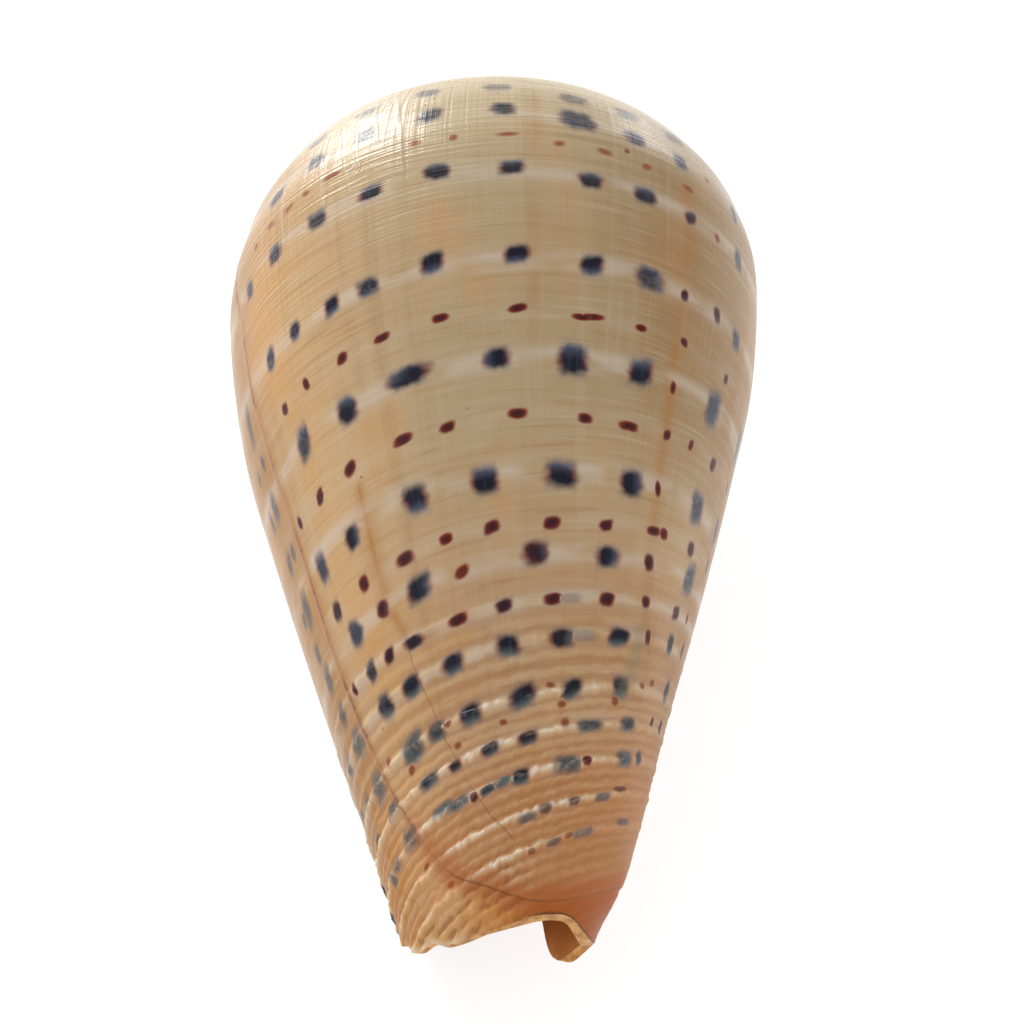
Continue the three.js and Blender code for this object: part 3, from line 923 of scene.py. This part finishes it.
def layBands():
    band = np.zeros(len(pointDown))
    for row in markRows:
        tilted = np.clip(pointTurn, -markFill["tilted"], markFill["tilted"])
        centre = downAt(row["drop"] + row["slant"] * tilted)
        band = np.maximum(band, row["band"] * np.exp(-((pointDown - centre) / markFill["bandHalf"]) ** 2))
    keepValues("band", np.where(pointRamp > 0, 0, band))


print("marks laid:", giveFacesMarks())
layBands()

# Colours and gloss of the outer glaze.
glaze = {
    "cream": screen(194, 176, 143), "tan": screen(179, 153, 116), "peach": screen(193, 146, 99),
    "ochre": screen(184, 115, 56),
    "blush": screen(206, 162, 108), "rightShade": screen(145, 107, 61), "sienna": screen(158, 112, 58),
    "honey": screen(202, 146, 78), "amber": screen(198, 122, 44), "salmon": screen(168, 84, 26),
    "pale": screen(204, 190, 174), "streak": screen(152, 112, 66), "rust": screen(170, 112, 50),
    "ribCrest": screen(222, 196, 160), "goldCrest": screen(222, 174, 114), "white": screen(240, 228, 210),
    "grooveOrangeAndShade": screen(146, 86, 38), "rim": screen(206, 156, 92), "rimShade": screen(170, 114, 58),
    "navy": screen(2, 5, 28), "slate": screen(88, 96, 116), "greySlate": screen(104, 112, 110),
    "redBrown": screen(66, 8, 12), "fringe": screen(134, 42, 14), "orangeRed": screen(150, 76, 28),
    "scar": screen(118, 64, 26), "stain": screen(128, 126, 96), "darkBrown": screen(70, 44, 28),
    "roughness": 0.26, "specular": 0.2, "coat": 0.06, "coatRoughness": 0.16,
}


def paintMarks(bench, at, ground):
    markTurn, markDown, markSeed = bench.parts(bench.read("markPlace", "Vector"))
    wide, tall, ink = bench.parts(bench.read("markForm", "Vector"))
    strength, fadeX, fadeY = bench.parts(bench.read("markTone", "Vector"))
    dark = bench.clamp(ink)
    slate = bench.clamp(ink - 1)
    across = (at.turn - markTurn) * at.girth * (math.pi / 180)
    along = (at.down - markDown) * bench.math("EXPONENT", at.turn * growthRate)
    waveX = bench.noise(bench.vector(along, across * 0.5, markSeed * 40), 0.8, 1.0, 0.5) - 0.5
    waveY = bench.noise(bench.vector(across, along * 0.5, markSeed * 40 + 20), 0.8, 1.0, 0.5) - 0.5
    mottle = bench.noise(bench.vector(across, along, markSeed * 40 + 9), 1.1, 2.0, 0.5)
    skew = (markSeed - 0.5) * 0.5 * (tall / wide)  # no two marks are alike
    half = 0.47 + dark * 0.06
    u = across / (wide * half) + waveX * 0.8
    v = (along + across * skew) / (tall * half) + waveY * 0.6
    shareX = bench.math("ABSOLUTE", u)
    shareY = bench.math("ABSOLUTE", v)
    roundness = 2.3
    powers = bench.math("POWER", shareX, roundness) + bench.math("POWER", shareY, roundness)
    reach = bench.math("POWER", powers, 1 / roundness)
    faint = bench.clamp(0 - ink)
    soft = 0.26 + dark * 0.14 + slate * 0.2 + faint * 0.5
    body = bench.span(reach, 1.06 + soft, 1.06 - soft)
    body = body * bench.blend(slate, 1.0, bench.span(mottle, 0.36, 0.52, 0.4, 1.0))
    core = bench.tint(faint, glaze["redBrown"], glaze["orangeRed"])
    core = bench.tint(dark, core, glaze["navy"])
    paling = bench.span(u * fadeX + v * fadeY, -0.1, 1.1) * 0.7 * dark
    greyed = bench.math("MAXIMUM", bench.span(at.down, 66, 78), bench.span(slate, 0.55, 0.75))
    pallor = bench.tint(greyed, glaze["slate"], glaze["greySlate"])
    slated = slate * bench.span(mottle, 0.38, 0.62, 0.3, 0.95)
    core = bench.tint(bench.math("MAXIMUM", slated, paling), core, pallor)
    ends = bench.span(shareX, 0.55, 1.05) * bench.span(shareY, 1.1, 0.5, 0.3, 1.0) * (1 - slate)
    reddened = bench.blend(dark, bench.span(reach, 0.3, 1.0) * 0.85, ends * 0.6)
    core = bench.tint(reddened, core, glaze["fringe"])
    core = bench.tint(bench.span(at.fineStreak, 0.5, 0.75) * 0.14 * dark, core, glaze["slate"])
    halo = bench.span(shareX, 1.3, 0.7) * bench.span(shareY, 1.8, 0.8) * strength * dark
    coat = bench.tint(halo * 0.35, ground, glaze["slate"])
    return bench.tint(body * strength, coat, core)


def layOver(bench, coat, layers):  # each layer is a share and the name of its colour
    for share, name in layers:
        coat = bench.tint(share, coat, glaze[name])
    return coat


def thinLine(bench, name, half):
    near = bench.span(bench.math("ABSOLUTE", bench.read(name)), half, half * 0.25)
    return near * bench.span(bench.read(name + "Reach"), 0.95, 0.6)


# What the glaze follows: place on the shell, its lines, the grain of its growth, and the parts it differs in.
def readSkin(bench):
    turn = bench.read("turn")
    down = bench.read("down")
    rib = bench.read("rib")
    scar = bench.read("scar")
    place = bench.take(bench.node("ShaderNodeTexCoord"), "Object")
    grain = bench.noise(place, 900.0, 3.0, 0.6)
    lean = turn - down * 0.02
    ribZone = bench.span(down, 68, 82)
    return SimpleNamespace(
        turn=turn, down=down, rib=rib, scar=scar, place=place, grain=grain, ribZone=ribZone,
        girth=bench.read("girth"),
        toEdge=bench.read("toEdge"),
        cloud=bench.noise(place, 45.0, 3.0, 0.55),
        wobble=(bench.noise(place, 260.0, 2.0) - 0.5) * 0.4,
        spiral=bench.noise(bench.vector(turn * 0.03, down), 1.2, 2.5, 0.5),
        hairline=bench.noise(bench.vector(turn * 0.02, down, 5.0), 2.6, 1.5, 0.5),
        growthStreak=bench.noise(bench.vector(lean * 0.16, down * 0.008, 2.0), 1.0, 3.0, 0.55),
        fineStreak=bench.noise(bench.vector(lean, down * 0.03, 9.0), 1.1, 2.0, 0.5),
        farSides=bench.math("MAXIMUM", bench.span(turn, 46, 80), bench.span(turn, -52, -80)),
        newest=bench.span(scar, -1.0, 2.0) * bench.span(down, 84, 96),
        tipRight=bench.span(turn, 28, -8) * bench.span(scar, -2.5, 0.5) * bench.span(down, 90, 98),
        # painted highlight along the rib crests
        paintedCrestHighlight=ribZone * bench.span(rib, 0.27, 0.46) * bench.span(grain, 0.2, 0.5, 0.5, 1.0),
    )


# Cream at the shoulder, tan on the body, painted shade on the right and at the far sides of the shoulder,
# warmer to the left, with pale bands.
def paintGround(bench, at):
    turn = at.turn
    down = at.down
    shadedRight = bench.span(turn, 0, -42) * bench.span(down, 2, 20) * bench.span(down, 64, 44)
    leftShoulder = bench.span(turn, 28, 58) * bench.span(down, -4, 8) * bench.span(down, 34, 16)
    warm = bench.noise(bench.vector(turn * 0.06, down * 0.05, 4.0), 1.0, 2.0, 0.5)
    warm = bench.span(warm, 0.5, 0.72) * bench.span(turn, -30, 30, 0.15, 0.4) * bench.span(down, 2, 18)
    patch = bench.noise(bench.vector(turn * 0.07, down * 0.3), 1.0, 1.0)
    return layOver(bench, glaze["cream"], [
        (bench.span(down, 2, 34), "tan"),
        (bench.span(down, 48, 88) * 0.75, "peach"),
        (bench.span(turn, 14, 64) * bench.span(down, -2, 20) * 0.8, "blush"),
        # painted shade: umber darkens the right side of the body
        (shadedRight * 0.68, "rightShade"),
        (leftShoulder * 0.4, "sienna"),
        # painted shade: sienna darkens the shoulder at the far sides, where it turns away
        (at.farSides * bench.span(down, -4, 10) * 0.85, "sienna"),
        (bench.span(at.cloud, 0.42, 0.75) * 0.2, "cream"),
        (bench.span(at.spiral, 0.52, 0.78) * 0.34, "cream"),
        (bench.span(at.spiral, 0.48, 0.25) * 0.34, "streak"),
        (bench.span(at.growthStreak, 0.52, 0.75) * 0.3, "streak"),
        (bench.span(at.growthStreak, 0.45, 0.25) * 0.25, "cream"),
        (bench.span(at.fineStreak, 0.55, 0.8) * 0.14, "pale"),
        (bench.span(at.fineStreak, 0.45, 0.2) * 0.16, "streak"),
        (bench.span(at.hairline, 0.55, 0.8) * 0.25, "pale"),
        (warm, "honey"),
        (bench.read("amber") * bench.span(at.cloud, 0.25, 0.6) * 0.8, "rust"),
        (bench.read("band") * bench.span(patch, 0.3, 0.6) * 0.85, "pale"),
    ])


# Ochre towards the narrow end, amber on the newest growth, salmon on its right; ribs have pale crests with a
# painted highlight, and their grooves' orange is darkened as painted shade.
def paintNarrowEnd(bench, at, ground):
    ground = layOver(bench, ground, [
        (bench.span(at.down, 84, 100) * (0.62 - at.newest * 0.46), "ochre"),
        (at.newest * bench.span(at.turn, 52, 12, 0.22, 0.82), "amber"),
        (at.tipRight * 0.97, "salmon"),
    ])
    crest = bench.tint(at.newest, glaze["ribCrest"], glaze["goldCrest"])
    ground = bench.tint(at.ribZone * bench.span(at.rib, 0.06, 0.3) * (1 - at.tipRight) * 0.5, ground, crest)
    return layOver(bench, ground, [
        # the grooves' own orange, darkened further as painted shade
        (at.ribZone * bench.span(at.rib, 0.06, -0.04) * 0.55, "grooveOrangeAndShade"),
        # painted highlight: white on the rib crests
        (at.paintedCrestHighlight * (1 - at.newest * 0.4) * 0.6, "white"),
    ])


# The stain, the line of the old lip, cracks, the chipped edge, ridges and small specks.
def paintLines(bench, at, coat):
    leftSide = bench.span(at.turn, 52, 70)  # there the line runs on the older side of the ledge
    scarDistance = bench.math("ABSOLUTE", at.scar + at.wobble * 0.6 + leftSide * 0.6)
    broken = bench.span(bench.noise(at.place, 170.0, 2.0), 0.4, 0.58, 0.3, 1.0)
    scarLine = bench.span(scarDistance, 0.22 + leftSide * 0.6, 0.05) * broken
    reddened = bench.span(bench.math("ABSOLUTE", at.scar + at.wobble * 3), 2.4, 0.2)
    reddened = reddened * bench.span(at.down, 86, 94) * bench.span(at.turn, 62, 44)
    cracked = thinLine(bench, "crack", 0.14) * bench.span(at.cloud, 0.4, 0.6, 0.15, 0.7)
    chipped = bench.span(at.toEdge + at.wobble * 2, 0.9, 0.2) * bench.span(at.turn, 36, 52)
    speckle = bench.take(bench.node("ShaderNodeTexVoronoi", {"Vector": at.place, "Scale": 240.0}), "Distance")
    return layOver(bench, coat, [
        (bench.span(bench.read("stain") + at.wobble * 5, 1.8, 0.1) * 0.4, "stain"),
        (bench.span(scarDistance, 1.0 + leftSide, 0.0) * (0.35 + leftSide * 0.35), "rust"),
        (reddened * 0.5, "salmon"),
        (scarLine * 0.6, "scar"),
        (scarLine * leftSide * bench.span(at.grain, 0.54, 0.64) * 0.6, "darkBrown"),
        (cracked * bench.span(at.down, 94, 82, 0.6, 1.0), "scar"),
        (chipped * bench.span(at.turn, 92, 80) * 0.7, "ribCrest"),
        (thinLine(bench, "ridge", 0.3) * 0.3, "pale"),
        (bench.span(speckle, 0.06, 0.03) * bench.span(at.cloud, 0.5, 0.6) * 0.55, "scar"),
    ])


def paintRim(bench, at, coat):  # of the narrow end, with a darker line along its thick part
    onRim = bench.read("rim")
    thickRim = bench.span(at.turn, 10, -4) * bench.span(at.turn, -110, -80)
    edgeDarkLine = bench.span(at.toEdge + at.wobble, 0.4, 0.05) * thickRim * 0.75
    rimTone = bench.tint(bench.span(at.grain, 0.35, 0.65), glaze["rimShade"], glaze["rim"])
    coat = bench.tint(edgeDarkLine * (1 - onRim), coat, glaze["darkBrown"])
    return bench.tint(onRim, coat, rimTone)


def setGloss(bench, at, surface):
    rough = glaze["roughness"] + (at.grain - 0.5) * 0.1 + bench.span(at.down, 70, 95) * 0.14
    bench.feed(surface.inputs["Roughness"], rough)
    bench.feed(surface.inputs["Specular IOR Level"], glaze["specular"] * (1 - at.farSides * 0.75))
    surface.inputs["Coat Weight"].default_value = glaze["coat"]
    surface.inputs["Coat Roughness"].default_value = glaze["coatRoughness"]
    etched = at.spiral * 0.6 + at.hairline * 0.7 + at.fineStreak * 0.65 + at.growthStreak * 0.5
    etched = etched * bench.span(at.down, 45, 8, 0.5, 1.4) * bench.span(at.turn, -34, 8, 0.3, 1.0)
    etched = etched * bench.span(at.turn, 76, 54, 0.3, 1.0)
    height = etched + at.grain * 0.006 + thinLine(bench, "ridge", 0.45) * 0.35
    bump = bench.node("ShaderNodeBump", {"Height": height, "Strength": 0.5, "Distance": 0.0003})
    bench.feed(surface.inputs["Normal"], bench.take(bump))


def paintShell(bench, surface):
    at = readSkin(bench)
    ground = paintNarrowEnd(bench, at, paintGround(bench, at))
    coat = paintMarks(bench, at, ground)
    # painted highlight on the rib crests, laid over the marks too
    coat = bench.tint(at.paintedCrestHighlight * 0.1, coat, glaze["white"])
    coat = paintRim(bench, at, paintLines(bench, at, coat))
    bench.feed(surface.inputs["Base Color"], coat)
    setGloss(bench, at, surface)


# The inside is a cream glaze with faint growth streaks, golden brown near the narrow end.
innerLook = {"cream": screen(206, 184, 146), "olive": screen(176, 142, 90), "golden": screen(222, 144, 68),
             "roughness": 0.3}


def paintInside(bench, surface):
    turn = bench.read("turn")
    down = bench.read("drop")
    place = bench.take(bench.node("ShaderNodeTexCoord"), "Object")
    streak = bench.noise(bench.vector(turn * 0.2, down * 0.05), 1.0, 3.0)
    cloud = bench.noise(place, 70.0, 3.0)
    coat = bench.tint(bench.span(streak + cloud, 0.75, 1.25), innerLook["olive"], innerLook["cream"])
    nearEnd = bench.span(down, 82, 98) * bench.span(cloud, 0.8, 0.3, 0.7, 1.0)
    coat = bench.tint(nearEnd, coat, innerLook["golden"])
    bench.feed(surface.inputs["Base Color"], coat)
    surface.inputs["Roughness"].default_value = innerLook["roughness"]
    bump = bench.node("ShaderNodeBump", {"Height": streak, "Strength": 0.3, "Distance": 0.0002})
    bench.feed(surface.inputs["Normal"], bench.take(bump))


paintShell(outerBench, outerSurface)
paintInside(innerBench, innerSurface)
print("glaze painted")

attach(shell, "root")
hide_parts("shell")


def addCamera():
    data = bpy.data.cameras.new("camera")
    data.lens = view["lens"]
    data.sensor_width = view["sensor"]
    data.clip_start = 0.01
    camera = bpy.data.objects.new("camera", data)
    camera.location = view["place"]
    camera.rotation_euler = sight.to_euler()
    bpy.context.scene.collection.objects.link(camera)
    bpy.context.scene.camera = camera


# Pale floor and soft light: a tall window behind on the left, a weaker one behind on the right, a broad light
# on the left, and light all round.
studio = {
    "floor": (0.34, 0.34, 0.34, 1), "floorGlow": 0.8, "floorHalf": 3.0, "sky": 0.78,
    "lamps": [
        {"name": "window", "place": (-0.33, 0.59, 0.26), "size": (0.2, 0.4), "power": 4.4,
         "colour": (1, 0.99, 0.97)},
        {"name": "sideWindow", "place": (0.36, 0.62, 0.14), "size": (0.2, 0.2), "power": 0.5,
         "colour": (0.97, 0.98, 1)},
        {"name": "leftSoftbox", "place": (-0.55, -0.12, 0.42), "size": (0.5, 0.5), "power": 0.25,
         "colour": (1, 0.97, 0.93)},
    ],
    "lampAim": (0.0, 0.02, 0.03),
}


def addStudio():
    half = studio["floorHalf"]
    corners = [(-half, -half, 0), (half, -half, 0), (half, half, 0), (-half, half, 0)]
    data = bpy.data.meshes.new("floor")
    data.from_pydata(corners, [], [(0, 1, 2, 3)])
    floor = bpy.data.objects.new("floor", data)
    bpy.context.scene.collection.objects.link(floor)
    paint = bpy.data.materials.new("floorPaint")
    paint.use_nodes = True
    surface = paint.node_tree.nodes["Principled BSDF"]
    surface.inputs["Base Color"].default_value = studio["floor"]
    surface.inputs["Roughness"].default_value = 0.8
    surface.inputs["Emission Color"].default_value = (1, 1, 1, 1)
    surface.inputs["Emission Strength"].default_value = studio["floorGlow"]
    data.materials.append(paint)
    for lamp in studio["lamps"]:
        light = bpy.data.lights.new(lamp["name"], "AREA")
        light.shape = "RECTANGLE"
        light.size, light.size_y = lamp["size"]
        light.energy = lamp["power"]
        light.color = lamp["colour"]
        holder = bpy.data.objects.new(lamp["name"], light)
        holder.location = lamp["place"]
        aim = Vector(studio["lampAim"]) - Vector(lamp["place"])
        holder.rotation_euler = aim.to_track_quat("-Z", "Y").to_euler()
        bpy.context.scene.collection.objects.link(holder)
    world = bpy.data.worlds.new("studio")
    world.use_nodes = True
    sky = world.node_tree.nodes["Background"]
    sky.inputs["Color"].default_value = (1, 1, 1, 1)
    sky.inputs["Strength"].default_value = studio["sky"]
    bpy.context.scene.world = world
    bpy.context.scene.view_settings.view_transform = "Standard"


addCamera()
addStudio()
print("camera and light set")
